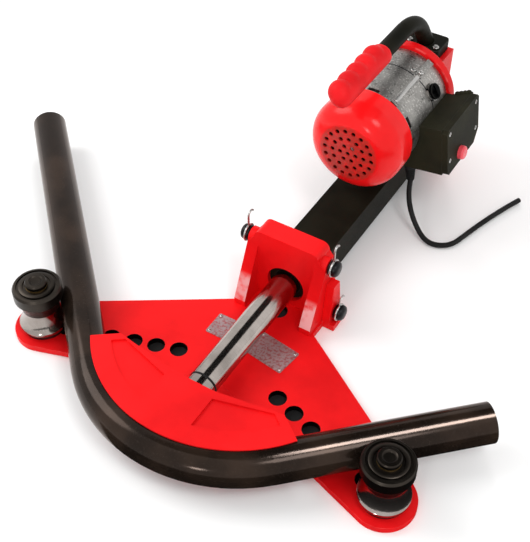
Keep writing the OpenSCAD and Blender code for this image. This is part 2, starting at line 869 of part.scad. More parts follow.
module switch_box() {
    room = [box_w, box_end - box_y - 2 * box_wall, box_h - 2 * box_wall];
    duct_x = box_x + 5;
    color(black) difference() {
        on_motor() difference() {
            translate([0, 0, box_z]) linear_extrude(box_h) polygon([
                [box_x, box_y], [lid_x - seat_gap, box_y], [lid_x - seat_gap, box_back],
                [ring_r + 2, box_end], [box_x, box_end]
            ]);
            translate([motor_r + 1 + box_wall, box_y + box_wall, box_z + box_wall]) cube(room);
            translate([duct_x, box_y + box_wall, box_z + box_wall])
                cube([motor_r + 5 - duct_x, room.y, cord_d + 1.5]);
            translate([gland_at.x, gland_at.y, box_z - past])
                cylinder(d = cord_d + 3 + 2 * seat_gap, h = box_wall + 2 * past);
        }
        along_y(motor_y, motor_z) cylinder(r = motor_r + 0.2, h = motor_l);
    }
}

module switch_lid() {
    corner = 4;
    slope = 14;
    color(black) on_motor() difference() {
        translate([lid_x, box_y, box_z]) profile_x(0, lid_t) polygon([
            [0, corner], [corner, 0], [box_l - slope, 0], [box_l, slope], [box_l, box_h - corner],
            [box_l - corner, box_h], [corner, box_h], [0, box_h - corner]
        ]);
        along_x(1, lid_x - past, button_at.y, button_at.z)
            cylinder(d = button_d + 2 * run_gap, h = lid_t + 2 * past);
        for (y = [8, box_l - 8], z = [slope + 4, box_h - 8])
            along_x(1, lid_x + lid_t - 2, box_y + y, box_z + z) cylinder(d = 7, h = 3);
    }
}

unit_size = [16, 28, 28];
button_in = 3;
module switch_unit() {
    back = lid_x - button_in - button_travel - 0.5 - unit_size.x;
    color(iron) on_motor() translate([back, button_at.y - unit_size.y / 2, box_z + box_wall]) cube(unit_size);
}

module push_button() {
    crown = 2;
    color(red) on_motor() along_x(1, lid_x - button_in, button_at.y, button_at.z) {
        cylinder(d = button_d, h = button_in + lid_t + button_out - crown);
        translate([0, 0, button_in + lid_t + button_out - crown])
            cylinder(d1 = button_d, d2 = button_d - 4, h = crown);
    }
}

module cord_gland() {
    color(rubber) on_motor() translate([gland_at.x, gland_at.y, box_z - gland_l]) difference() {
        union() {
            cylinder(d1 = cord_d + 3, d2 = collar_d - 2, h = gland_l);
            translate([0, 0, gland_l - 4]) cylinder(d = collar_d, h = 4);
            cylinder(d = cord_d + 3, h = gland_l + box_wall);
        }
        translate([0, 0, -past]) cylinder(d = cord_d + 1, h = gland_l + box_wall + 2 * past);
    }
}

// Tube swept along a list of points: each ring stands across the way from its neighbours.
function unit(v) = v / norm(v);
function way(p, i) = unit(p[min(i + 1, len(p) - 1)] - p[max(i - 1, 0)]);
function side_of(w) = unit(cross(w, abs(w.x) < 0.9 ? [1, 0, 0] : [0, 1, 0]));
function next_side(s, w) = unit(s - (s * w) * w);
function sides(p, i = 0, done = []) = i == len(p) ? done :
    sides(p, i + 1, concat(done, [i == 0 ? side_of(way(p, 0)) : next_side(done[i - 1], way(p, i))]));
function ring_point(p, s, w, r, a) = p + r * (cos(a) * s + sin(a) * cross(w, s));

module swept_tube(pts, d, n) {
    across = sides(pts);
    rings = [for (i = [0 : len(pts) - 1], k = [0 : n - 1])
        ring_point(pts[i], across[i], way(pts, i), d / 2, 360 * k / n)];
    last = (len(pts) - 1) * n;
    walls = [for (i = [0 : len(pts) - 2], k = [0 : n - 1], half = [0, 1])
        let (a = i * n + k, b = i * n + (k + 1) % n)
        half == 0 ? [a, a + n, b] : [b, a + n, b + n]];
    front_cap = [for (k = [1 : n - 2]) [0, k, k + 1]];
    back_cap = [for (k = [1 : n - 2]) [last, last + k + 1, last + k]];
    polyhedron(rings, concat(walls, front_cap, back_cap));
}

module power_cord() {
    color(rubber) swept_tube(cord_pts, cord_d, cord_sides);
}

base_plate();
head();
cylinder_bar();
gland_nut();
rod_wiper();
guide_bush();
ram_rod();
piston_seal();
former();
former_screw();
pipe();
roller(-1);  // left_roller
roller(1);  // right_roller
roller_bush(-1);  // left_bush
roller_bush(1);  // right_bush
roller_washer(-1);  // left_washer
roller_washer(1);  // right_washer
roller_pin(-1);  // left_roller_pin
roller_pin(1);  // right_roller_pin
lock_pin(-1, upper_lock_x, upper_lock_z);  // upper_left_lock
lock_pin(1, upper_lock_x, upper_lock_z);  // upper_right_lock
lock_pin(1, lower_lock_x, lower_lock_z);  // lower_right_lock
wire_clip(-1, upper_lock_x, upper_lock_z, 14);  // upper_left_clip
wire_clip(1, upper_lock_x, upper_lock_z, 14);  // upper_right_clip
wire_clip(1, lower_lock_x, lower_lock_z, 6);  // lower_right_clip
data_plate(left_label, 0);  // left_data_plate
data_plate(right_label, -8);  // right_data_plate
pump_block();
pump_cartridge();
pump_cap();
rear_foot();
release_knob();
oil_plug();
rear_ring();
motor_housing();
stator();
rotor();
commutator();
fan();
fan_cover();
bearing(motor_y + 1);  // front_bearing
bearing(ring_y + seat_gap);  // rear_bearing
brush_holder(-1);  // left_brush_holder
brush_holder(1);  // right_brush_holder
brush(-1);  // left_brush
brush(1);  // right_brush
brush_cap(-1);  // left_brush_cap
brush_cap(1);  // right_brush_cap
handle_tube();
handle_foot();
handle_grip();
switch_box();
switch_lid();
switch_unit();
push_button();
cord_gland();
power_cord();
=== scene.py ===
# %% [markdown]
# # A hydraulic pipe bender
# The machine lies on its red wing plate. An electric motor drives a small pump, the pump pushes a
# chromed ram, and the ram presses a grooved former into a steel pipe that two rollers hold back.
# The CAD frame gives every piece its place, so this lesson only adds what the eye needs: rounded
# edges, finishes, small hardware, light and a camera.

# %% Load the frame
import json
import math

import bpy
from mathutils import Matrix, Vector


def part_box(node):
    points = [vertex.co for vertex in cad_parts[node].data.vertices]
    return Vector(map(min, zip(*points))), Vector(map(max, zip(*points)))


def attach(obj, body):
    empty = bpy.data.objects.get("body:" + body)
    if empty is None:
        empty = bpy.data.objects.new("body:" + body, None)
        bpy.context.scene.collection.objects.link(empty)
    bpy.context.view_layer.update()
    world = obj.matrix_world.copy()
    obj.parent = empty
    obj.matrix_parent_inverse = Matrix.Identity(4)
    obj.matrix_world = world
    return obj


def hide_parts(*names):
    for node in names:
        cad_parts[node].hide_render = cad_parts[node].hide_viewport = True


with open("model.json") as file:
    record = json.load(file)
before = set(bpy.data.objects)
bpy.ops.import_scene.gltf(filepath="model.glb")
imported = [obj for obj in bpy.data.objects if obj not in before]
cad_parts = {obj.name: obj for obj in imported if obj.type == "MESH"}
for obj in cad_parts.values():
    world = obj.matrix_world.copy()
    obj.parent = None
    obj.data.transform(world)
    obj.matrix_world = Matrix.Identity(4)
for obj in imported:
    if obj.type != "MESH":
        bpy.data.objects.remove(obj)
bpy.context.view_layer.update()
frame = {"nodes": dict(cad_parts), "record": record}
NODES = frame["nodes"]
MM = 0.001
bodies = frame["record"]["behaviour"]["bodies"]
body_of_node = {node: body for body, members in bodies.items() for node in members}
slot_of_node = {part["node"]: part["material_slot"] for part in frame["record"]["subparts"]}

# %% [markdown]
# ## The camera
# The photograph looks down steeply from the front right. A camera could be moved by eye until the
# picture fits. This one was worked out from the pipe, the holes and the motor instead, so its
# place, its direction and its lens are written as plain numbers. The frame is a little taller than
# wide, and the sensor's 36 mm lie along the taller side.

# %% Place the camera
camera_place = Vector((385.9, -669.9, 854.6)) * MM
camera_way = Vector((-0.3658, 0.5935, -0.7169))
camera_data = bpy.data.cameras.new("photo_camera")
camera_data.lens = 65.76
camera_data.sensor_width = 36.0
camera_data.sensor_fit = "AUTO"
camera = bpy.data.objects.new("photo_camera", camera_data)
camera.location = camera_place
camera.rotation_euler = camera_way.to_track_quat("-Z", "Y").to_euler()
bpy.context.scene.collection.objects.link(camera)
bpy.context.scene.camera = camera
print("camera at", [round(v, 3) for v in camera_place])

# %% [markdown]
# ## The power cord
# The cord leaves the switch box downwards, bends to the floor and lies there to its cut end. It
# could be extruded as a mesh, but a curve with a round section is the natural way to draw it: the
# points are the route, and Blender smooths between them. Each point carries the cord's radius, so
# the curve's own box is no larger than the cord.

# %% Lay out the cord's route
cord_route = [
    (46.2, 219, 77.4), (47.6, 219, 67.5), (49, 219, 57.6), (49.9, 216.5, 51), (51.8, 212.3, 44.3),
    (55, 207.3, 37.5), (59.2, 202.6, 31), (64.5, 198, 24.5), (70.8, 193.6, 18.2), (78, 189.3, 12.4),
    (86.2, 185.1, 7.8), (95.4, 182.1, 5), (105.1, 182.4, 4), (114.1, 186.1, 4), (121.4, 192.6, 4),
    (125.9, 201, 4), (129.6, 213.5, 4), (134.8, 232, 4), (140.6, 251.5, 4), (147.2, 271.5, 4),
    (155, 293, 4), (163.6, 314.3, 4),
]
cord_diameter = 6.5 * MM
cord_points = [Vector(p) * MM for p in cord_route]

# %% Draw the power cord
cord_curve = bpy.data.curves.new("power_lead", "CURVE")
cord_curve.dimensions = "3D"
cord_curve.bevel_depth = 1.0
cord_curve.bevel_resolution = 5
cord_curve.resolution_u = 6
cord_curve.use_fill_caps = True
cord_spline = cord_curve.splines.new("BEZIER")
cord_spline.bezier_points.add(len(cord_points) - 1)
for knot, place in zip(cord_spline.bezier_points, cord_points):
    knot.co = place
    knot.radius = cord_diameter / 2
    knot.handle_left_type = "AUTO"
    knot.handle_right_type = "AUTO"
power_lead = bpy.data.objects.new("power_lead", cord_curve)
bpy.context.scene.collection.objects.link(power_lead)
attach(power_lead, "frame")
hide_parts("power_cord")
print("cord drawn through", len(cord_points), "points")

# %% [markdown]
# ## The floor and the cards of painted shade
# A catalogue picture stands on white, so the floor is one pale sheet, a hair below the wing plate.
# The plate's holes are black, but here they would show that pale sheet. A black card therefore
# lies under each row of holes and under the drain hole as painted shade in the holes, and the plate
# hides the rest of it.

# %% Lay the floor
floor_side = 8
floor_gap = 0.0006
bpy.ops.object.select_all(action="DESELECT")
bpy.ops.mesh.primitive_plane_add(size=floor_side, location=(0, 0, -floor_gap))
floor = bpy.context.active_object
floor.name = "studio_floor"
print("floor", floor_side, "m wide")


# %% Lay the cards of painted shade
def dark_card(name, size, place, turned=0.0):
    """A black card of the studio, in millimetres, which isn't part of the machine."""
    bpy.ops.object.select_all(action="DESELECT")
    bpy.ops.mesh.primitive_plane_add(size=1, location=[v * MM for v in place],
                                     rotation=(0, 0, turned))
    card = bpy.context.active_object
    card.name = name
    card.scale = (size[0] * MM, size[1] * MM, 1)
    return card


row_run, row_fall = 150, 48.7
row_turn = math.atan2(-row_fall, row_run)
row_x, row_y = 139, -146.4
drain_x, drain_y = 0, -15
card_z = -0.3
row_card = (188, 26)
drain_card = (30, 30)
# The three cards under the holes are painted shade: black seen through the holes.
shade_cards = [
    dark_card("shade_card_right", row_card, (row_x, row_y, card_z), row_turn),
    dark_card("shade_card_left", row_card, (-row_x, row_y, card_z), -row_turn),
    dark_card("shade_card_middle", drain_card, (drain_x, drain_y, card_z)),
]
print("the rows of holes run", round(math.degrees(-row_turn), 1), "degrees to the front")

# %% [markdown]
# ## Flags for the reflections
# A chromed bar only looks like chrome when it has something dark to mirror. Photographers set
# black flags for that, and so does this studio: one hangs over the ram, and one lies before the
# bend, for the right roller's waist. Only reflections see them, so they cast no shadow and stay
# out of the picture.

# %% Hang the flags
flags = [
    dark_card("flag_over_ram", size=(1000, 1500), place=(20, 480, 1150)),
    dark_card("flag_before_bend", size=(1100, 560), place=(250, -400, 0.4),
              turned=math.radians(36)),
]
for flag in flags:
    for sight in ("camera", "diffuse", "transmission", "volume_scatter", "shadow"):
        setattr(flag, "visible_" + sight, False)
print("flags:", [flag.name for flag in flags])


# %% [markdown]
# ## The lamps
# Soft lamps stand all round the machine, at a level where a colour renders about as it is written.
# One small hard lamp would give black shadows, which the photograph doesn't have. The lamp at the
# back is kept out of reflections, because it would draw a false highlight on the pipe's left leg.
# The long highlight on the right leg is the picture of a tube lamp above it. That lamp adds gloss
# only, and further down it is linked to the pipe alone.

# %% Hang the soft lamps
def soft_lamp(name, place, aim, size, power):
    """A round lamp: place, aim and size in metres, power in watts."""
    lamp_data = bpy.data.lights.new(name, "AREA")
    lamp_data.shape = "DISK"
    lamp_data.size = size
    lamp_data.energy = power
    lamp = bpy.data.objects.new(name, lamp_data)
    lamp.location = place
    lamp.rotation_euler = (Vector(aim) - Vector(place)).to_track_quat("-Z", "Y").to_euler()
    bpy.context.scene.collection.objects.link(lamp)
    return lamp


wing_middle = (0, 0, 0)
machine_middle = (0, 0.15, 0.15)
soft_lamp("key_lamp", place=(0.9, -0.5, 1.7), aim=wing_middle, size=0.6, power=8)
soft_lamp("fill_lamp", place=(-1.4, -0.4, 1.4), aim=wing_middle, size=1.2, power=15)
back_lamp = soft_lamp("back_lamp", place=(-0.9, 1.65, 1.2), aim=machine_middle, size=0.4, power=6)
back_lamp.visible_glossy = False
soft_lamp("front_lamp", place=(0.25, -1.6, 0.68), aim=machine_middle, size=0.2, power=2.5)

# %% Hang the tube lamp
over_leg = (0.467, 0.127, 1.10)
under_lamp = (0.467, 0.127, 0)
tube = soft_lamp("tube_lamp", place=over_leg, aim=under_lamp, size=0.65, power=26)
tube.data.shape = "RECTANGLE"
tube.data.size_y = 0.26
tube.visible_diffuse = False
tube.rotation_euler = (0, 0, math.radians(53.5))
print("tube lamp", round(tube.data.size, 2), "by", round(tube.data.size_y, 2), "m")

# %% [markdown]
# ## The white room
# The world could be one white light, but then its strength would also set how white the background
# looks. So it has two: the camera, reflections and glass see plain white, and everything else is
# lit a little less.

# %% Paint the room white
WHITE = (1, 1, 1, 1)
room_light = 0.84
room_seen = 1.0
world = bpy.data.worlds.new("white_room")
bpy.context.scene.world = world
world.use_nodes = True
world_tree = world.node_tree
world_tree.nodes.clear()
world_mix = world_tree.nodes.new("ShaderNodeMixShader")
for entry, strength in ((1, room_light), (2, room_seen)):
    white = world_tree.nodes.new("ShaderNodeBackground")
    white.inputs["Color"].default_value = WHITE
    white.inputs["Strength"].default_value = strength
    world_tree.links.new(white.outputs[0], world_mix.inputs[entry])
world_rays = world_tree.nodes.new("ShaderNodeLightPath")
shown_white = world_rays.outputs["Is Camera Ray"]
for ray in ("Is Glossy Ray", "Is Transmission Ray"):
    either = world_tree.nodes.new("ShaderNodeMath")
    either.operation = "MAXIMUM"
    world_tree.links.new(shown_white, either.inputs[0])
    world_tree.links.new(world_rays.outputs[ray], either.inputs[1])
    shown_white = either.outputs[0]
world_tree.links.new(shown_white, world_mix.inputs[0])
world_out = world_tree.nodes.new("ShaderNodeOutputWorld")
world_tree.links.new(world_mix.outputs[0], world_out.inputs[0])
bpy.context.scene.view_settings.view_transform = "Standard"
print("room lit at", room_light, "and seen at", room_seen)


# %% [markdown]
# ## Shader maths
# Every finish is one material made of nodes, which could be added and linked one by one. The class
# below wraps a node's socket, so that shader maths reads like ordinary arithmetic: an expression
# on values adds the Math nodes that it needs.

# %% Wrap a socket
class Value:
    """A socket in a material: arithmetic on it adds Math nodes."""

    def __init__(self, finish, socket):
        self.finish = finish
        self.socket = socket

    def math(self, operation, first, second):
        return self.finish.node("ShaderNodeMath", {"operation": operation}, {0: first, 1: second})

    def __add__(self, other):
        return self.math("ADD", self, other)

    def __sub__(self, other):
        return self.math("SUBTRACT", self, other)

    def __rsub__(self, other):
        return self.math("SUBTRACT", other, self)

    def __mul__(self, other):
        return self.math("MULTIPLY", self, other)

    __radd__ = __add__
    __rmul__ = __mul__


print("values add, subtract and multiply")

# %% [markdown]
# ## A small kit for finishes
# A finish starts from a Principled surface. One method adds any node, and short ones cover what
# every finish here needs: noise, a soft step, a mix of two colours, a bump. The noise is laid in
# object coordinates, so it stays on the piece wherever a joint takes it.

MIX_AMOUNT, MIX_FIRST, MIX_SECOND, MIX_RESULT = 0, 6, 7, 2
FINISH = {}


class Finish:
    """One material with a Principled surface, built up node by node."""

    def __init__(self, name):
        self.material = bpy.data.materials.new(name)
        self.material.use_nodes = True
        self.tree = self.material.node_tree
        self.surface = self.tree.nodes["Principled BSDF"]
        self.place = self.node("ShaderNodeTexCoord", out="Object")
        FINISH[name] = self.material

    def node(self, kind, settings=None, inputs=None, out=0):
        """Any node: its settings are set first, then its sockets get their values or links."""
        made = self.tree.nodes.new(kind)
        for key, value in (settings or {}).items():
            setattr(made, key, value)
        self.feed(made, inputs or {})
        return Value(self, made.outputs[out])

    def feed(self, made, inputs):
        for key, value in inputs.items():
            if isinstance(value, Value):
                self.tree.links.new(value.socket, made.inputs[key])
            else:
                made.inputs[key].default_value = value

    def noise(self, scale, detail, stretch=(1, 1, 1)):
        spot = self.node("ShaderNodeMapping", None, {"Vector": self.place, "Scale": stretch})
        return self.node("ShaderNodeTexNoise", None,
                         {"Vector": spot, "Scale": scale, "Detail": detail})

    def step(self, value, low, high):
        """0 below low, 1 above high and a smooth rise between them."""
        return self.node("ShaderNodeMapRange", {"interpolation_type": "SMOOTHSTEP"},
                         {"Value": value, "From Min": low, "From Max": high})

    def mix(self, amount, first, second):
        return self.node("ShaderNodeMix", {"data_type": "RGBA"},
                         {MIX_AMOUNT: amount, MIX_FIRST: first, MIX_SECOND: second}, MIX_RESULT)

    def axis(self, letter):
        return self.node("ShaderNodeSeparateXYZ", None, {0: self.place}, letter)

    def mark(self, name):
        """A number that the mesh carries on its faces."""
        return self.node("ShaderNodeAttribute", {"attribute_name": name}, None, "Fac")

    def bump(self, height, strength, distance):
        return self.node("ShaderNodeBump", None,
                         {"Height": height, "Strength": strength, "Distance": distance})

    def colour(self):
        """What feeds the base colour so far."""
        return Value(self, self.surface.inputs["Base Color"].links[0].from_socket)

    def set(self, **inputs):
        self.feed(self.surface, {key.replace("_", " "): value for key, value in inputs.items()})


print("kit ready")


# %% [markdown]
# ## Red paint
# The castings and plates wear one red enamel, sprayed a little unevenly. A single red would look
# like plastic, so broad noise shifts its depth and fine noise gives the orange-peel skin. The
# bevelled edges, which carry a mark of their own, are rubbed paler in patches. The lower part of
# the gussets' front slopes, which face up towards the lamps, gets a pale pink painted highlight.

# %% Mix the red paint
def red_enamel(name, deep, bright, gloss, shine):
    f = Finish(name)
    worn_pink, wear_share = (0.9, 0.16, 0.15, 1), 0.45
    highlight_pink, highlight_low, highlight_high = (0.86, 0.42, 0.42, 1), 0.040, 0.050
    dust_share = 0.14
    mottle = f.step(f.noise(scale=14, detail=4), low=0.3, high=0.75)
    dust = f.noise(scale=160, detail=3)
    peel = f.noise(scale=520, detail=2)
    patches = f.step(f.noise(scale=120, detail=5), low=0.42, high=0.62)
    highlight_patches = f.step(f.noise(scale=60, detail=4), low=0.25, high=0.5)
    paint = f.mix(mottle, bright, deep)
    worn = f.mix(f.mark("edge_wear") * patches * wear_share, paint, worn_pink)
    # Pale pink painted highlight on the lower part of the gussets' front slopes, in patches.
    low_down = 1 - f.step(f.axis("Z"), highlight_low, highlight_high)
    highlighted = f.mark("highlit_slope") * low_down * highlight_patches
    f.set(Base_Color=f.mix(highlighted, worn, highlight_pink), Roughness=gloss + dust * dust_share,
          Normal=f.bump(peel, strength=0.05, distance=0.001), Specular_IOR_Level=shine)
    return f


red_enamel("red_paint", deep=(0.66, 0.004, 0.006, 1), bright=(0.90, 0.008, 0.010, 1),
           gloss=0.34, shine=0.12)
print("red finishes:", list(FINISH))

# %% [markdown]
# ## Gloss paint with a shaded grille
# The fan's dome has a glossier coat of the same red. Round the grille's holes the paint is darkened
# to a brown, as painted shade in the recessed grille. The shade could be painted on an image, but
# it is simpler to mix it in by the distance from the motor's axis, on the dome's front only.

# %% Mix the gloss paint
f = red_enamel("red_gloss", deep=(0.74, 0.005, 0.006, 1), bright=(0.92, 0.010, 0.012, 1),
               gloss=0.12, shine=0.22)
motor_height = 0.133
across_axis = (1, 0, 1)
grille_inner, grille_outer = 0.034, 0.0385
front_near, front_far = 0.004, 0.008
shade_brown, shade_least, shade_more = (0.30, 0.035, 0.025, 1), 0.35, 0.45
fan_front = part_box("fan_cover")[0].y
off_axis = f.node("ShaderNodeVectorMath", {"operation": "MULTIPLY_ADD"},
                  {0: f.place, 1: across_axis, 2: (0, 0, -motor_height)})
grille_reach = f.node("ShaderNodeVectorMath", {"operation": "LENGTH"}, {0: off_axis}, "Value")
on_grille = 1 - f.step(grille_reach, grille_inner, grille_outer)
on_front = 1 - f.step(f.axis("Y"), fan_front + front_near, fan_front + front_far)
# Painted shade: the red turns to a dark brown round the grille's holes, in patches.
shade = f.step(f.noise(scale=210, detail=4), low=0.3, high=0.62)
shaded_grille = on_grille * on_front * (shade_least + shade * shade_more)
f.set(Base_Color=f.mix(shaded_grille, f.colour(), shade_brown))
print("the grille's soot starts at y", round(fan_front, 3))


# %% [markdown]
# ## Black paint, rubber and plastic
# Each dark surface has its own skin: the bar is brushed satin paint, the rubber is dull with a
# fine grain, and the switch box is spark-eroded plastic. One function mixes them all, because they
# differ only in depth, grain and shine. None of them is pure black, or its shape would vanish.

# %% Mix the dark finishes
def dark_skin(name, deep, pale, rough, grain, depth, shine):
    f = Finish(name)
    worn_grey, wear_share = (0.10, 0.098, 0.085, 1), 0.35
    grain_share = 0.2
    cloud = f.step(f.noise(scale=22, detail=4), low=0.3, high=0.7)
    fine = f.noise(grain, detail=3)
    skin = f.mix(cloud, deep, pale)
    f.set(Base_Color=f.mix(f.mark("edge_wear") * fine * wear_share, skin, worn_grey),
          Roughness=rough + fine * grain_share, Normal=f.bump(fine, depth, distance=0.0006),
          Specular_IOR_Level=shine)


dark_skin("black_paint", deep=(0.006, 0.006, 0.004, 1), pale=(0.012, 0.011, 0.007, 1),
          rough=0.34, grain=420, depth=0.12, shine=0.03)
dark_skin("black_rubber", deep=(0.006, 0.006, 0.006, 1), pale=(0.014, 0.014, 0.014, 1),
          rough=0.48, grain=900, depth=0.25, shine=0.14)
dark_skin("black_cap", deep=(0.002, 0.002, 0.002, 1), pale=(0.004, 0.004, 0.004, 1),
          rough=0.4, grain=600, depth=0.05, shine=0.02)
dark_skin("black_plastic", deep=(0.003, 0.003, 0.004, 1), pale=(0.008, 0.008, 0.009, 1),
          rough=0.20, grain=600, depth=0.05, shine=0.2)
dark_skin("grey_plastic", deep=(0.014, 0.0135, 0.009, 1), pale=(0.024, 0.023, 0.013, 1),
          rough=0.45, grain=1100, depth=0.35, shine=0.04)
print("dark finishes:", [name for name in FINISH if "black" in name or "grey" in name])


# %% [markdown]
# ## Bare metal
# Chrome, turned steel, iron and bronze differ in colour and, more, in how rough they are and which
# way their marks run. Marks from a lathe run round its axis, so their noise is fine along that axis
# and stretched across it, which is simpler than drawing single scratches.

# %% Mix the metals
def metal(name, dark, light, rough, spread, marks, stretch, depth):
    f = Finish(name)
    cloud_share, line_share = 0.6, 0.4
    cloud = f.step(f.noise(scale=30, detail=4), low=0.3, high=0.72)
    lines = f.noise(marks, detail=3, stretch=stretch)
    f.set(Base_Color=f.mix(cloud * cloud_share + lines * line_share, dark, light), Metallic=1.0,
          Roughness=rough + lines * spread, Normal=f.bump(lines, depth, distance=0.0004))
    return f


even = (1, 1, 1)
round_ram = (0.15, 6, 0.15)
round_pin = (0.2, 0.2, 5)
metal("chrome", dark=(0.24, 0.21, 0.19, 1), light=(0.52, 0.465, 0.43, 1),
      rough=0.09, spread=0.10, marks=260, stretch=round_ram, depth=0.04)
metal("steel", dark=(0.36, 0.35, 0.34, 1), light=(0.64, 0.63, 0.61, 1),
      rough=0.20, spread=0.18, marks=240, stretch=round_pin, depth=0.10)
metal("dark_steel", dark=(0.022, 0.018, 0.015, 1), light=(0.056, 0.047, 0.039, 1),
      rough=0.24, spread=0.2, marks=240, stretch=round_pin, depth=0.10)
metal("iron", dark=(0.05, 0.047, 0.044, 1), light=(0.11, 0.10, 0.095, 1),
      rough=0.34, spread=0.2, marks=300, stretch=even, depth=0.2)
metal("bronze", dark=(0.42, 0.28, 0.11, 1), light=(0.66, 0.47, 0.20, 1),
      rough=0.24, spread=0.2, marks=240, stretch=round_pin, depth=0.08)
print("finishes so far:", len(FINISH))

# %% [markdown]
# ## The motor's cast aluminium
# The shell is rough cast aluminium, and in the photograph it looks mottled. Fine noise adds bright
# spots, coarser noise adds dark pits, and a broken dark seam runs round the shell near its rear.
# These marks are too fine to model, so they are mixed into the colour.

# %% Mix the motor's aluminium
f = metal("aluminium", dark=(0.17, 0.163, 0.155, 1), light=(0.46, 0.445, 0.42, 1),
          rough=0.30, spread=0.26, marks=380, stretch=even, depth=0.3)
spot_white, spot_share = (0.80, 0.775, 0.74, 1), 0.55
pit_black, pit_share = (0.05, 0.052, 0.05, 1), 0.7
seam_black = (0.02, 0.02, 0.024, 1)
seam_front, seam_back, seam_blur = 0.2488, 0.2514, 0.0008
bright_spots = f.step(f.noise(scale=420, detail=4), low=0.54, high=0.66)
pits = f.step(f.noise(scale=190, detail=5), low=0.60, high=0.70)
past_front = f.step(f.axis("Y"), seam_front, seam_front + seam_blur)
before_back = 1 - f.step(f.axis("Y"), seam_back - seam_blur, seam_back)
broken = f.step(f.noise(scale=90, detail=2), low=0.3, high=0.5)
spotted = f.mix(bright_spots * spot_share, f.colour(), spot_white)
speckled = f.mix(pits * pit_share, spotted, pit_black)
f.set(Base_Color=f.mix(past_front * before_back * broken, speckled, seam_black))
print("seam from", seam_front, "to", seam_back)

# %% [markdown]
# ## The bare plates
# Two thin aluminium plates are riveted to the wing plate. They are bare, with faint brush marks,
# and some of the red paint has rubbed off onto them. Noise as fine as the rubbing mixes it in as
# stains.

# %% Mix the plates' aluminium
f = metal("plate_aluminium", dark=(0.30, 0.22, 0.225, 1), light=(0.60, 0.47, 0.475, 1),
          rough=0.40, spread=0.2, marks=300, stretch=(0.3, 6, 1), depth=0.06)
stain_red, stain_share = (0.42, 0.06, 0.07, 1), 0.75
stain = f.step(f.noise(scale=330, detail=6), low=0.42, high=0.66)
f.set(Base_Color=f.mix(stain * stain_share, f.colour(), stain_red), Metallic=0.7)
print("plates stained by", stain_share)

# %% [markdown]
# ## The pipe's mill skin
# Steel pipe comes black from the mill, with a thin brown varnish over dark scale. Two noises of
# different size mix the brown and the black, and thin spots let the bare steel shine through. The
# varnish tints the gloss, so the highlight on the pipe is warm.

# %% Mix the pipe's skin
f = Finish("pipe_steel")
mill_black, varnish_brown = (0.006, 0.004, 0.003, 1), (0.026, 0.016, 0.011, 1)
bare_steel, bare_share = (0.040, 0.031, 0.027, 1), 0.3
smoothest, rough_share = 0.10, 0.08
brown = f.step(f.noise(scale=16, detail=5), low=0.35, high=0.68)
scale_skin = f.noise(scale=420, detail=3)
scale_spots = f.step(scale_skin, low=0.55, high=0.75)
skin = f.mix(brown, mill_black, varnish_brown)
f.set(Base_Color=f.mix(scale_spots * bare_share, skin, bare_steel), Metallic=0.2,
      Roughness=smoothest + f.noise(scale=90, detail=4) * rough_share,
      Normal=f.bump(scale_skin, strength=0.03, distance=0.0005),
      Specular_IOR_Level=0.28, Specular_Tint=(1.0, 0.78, 0.68, 1))
print("pipe's skin mixed")


# %% [markdown]
# ## Red rubber and the red button
# The grip is soft moulded rubber and the button is clear-skinned plastic, so they share the red
# but not the shine. Fine pores dull the rubber.

# %% Mix the soft reds
def soft_red(name, deep, bright, rough, depth, shine):
    f = Finish(name)
    pore_share = 0.2
    cloud = f.step(f.noise(scale=26, detail=4), low=0.3, high=0.7)
    pores = f.noise(scale=1300, detail=2)
    f.set(Base_Color=f.mix(cloud, bright, deep), Roughness=rough + pores * pore_share,
          Normal=f.bump(pores, depth, distance=0.0004), Specular_IOR_Level=shine)


soft_red("red_rubber", deep=(0.62, 0.006, 0.009, 1), bright=(0.80, 0.010, 0.014, 1),
         rough=0.40, depth=0.18, shine=0.12)
soft_red("red_plastic", deep=(0.68, 0.030, 0.050, 1), bright=(0.86, 0.085, 0.11, 1),
         rough=0.18, depth=0.03, shine=0.5)
print("all reds:", [name for name in FINISH if name.startswith("red_")])

# %% [markdown]
# ## Paper for the studio
# The floor is matt white paper. Near the machine it shows the soft shadow, and further away it
# fades into the room's white for the camera alone, so that no horizon shows. The cards of painted
# shade under the holes and the flags are dull black.

# %% Paper the floor and the cards
f = Finish("floor_card")
fade_start, fade_end = 0.5, 0.95
paper_grey, paper_white = (0.93, 0.93, 0.93, 1), (0.97, 0.97, 0.965, 1)
f.set(Base_Color=f.mix(f.noise(scale=3, detail=3), paper_grey, paper_white), Roughness=0.9,
      Specular_IOR_Level=0.0)
matt = Value(f, f.surface.outputs[0])
away = f.node("ShaderNodeVectorMath", {"operation": "LENGTH"}, {0: f.place}, "Value")
seen = f.node("ShaderNodeLightPath", out="Is Camera Ray")
glow = f.node("ShaderNodeEmission", None, {"Color": WHITE, "Strength": 1.0})
faded = f.step(away, fade_start, fade_end) * seen
paper = f.node("ShaderNodeMixShader", None, {0: faded, 1: matt, 2: glow})
f.feed(f.tree.nodes["Material Output"], {"Surface": paper})
floor.data.materials.append(f.material)
f = Finish("black_card")
card_black, card_grey = (0.004, 0.004, 0.004, 1), (0.008, 0.008, 0.008, 1)
f.set(Base_Color=f.mix(f.noise(scale=40, detail=2), card_black, card_grey), Roughness=1.0)
for card in shade_cards + flags:
    card.data.materials.append(f.material)
print("finishes:", len(FINISH))

# %% [markdown]
# ## Dressing the CAD nodes
# The record gives every node a material slot, and the finishes carry the slots' names. A node that
# no finer piece replaces, such as a clip or a bush, stays in sight, so each node gets its finish
# as its only material.

# %% Dress every CAD node in its finish
for node, piece in NODES.items():
    piece.data.materials.clear()
    piece.data.materials.append(FINISH[slot_of_node[node]])
power_lead.data.materials.append(FINISH["black_rubber"])
print("dressed", len(NODES), "nodes")


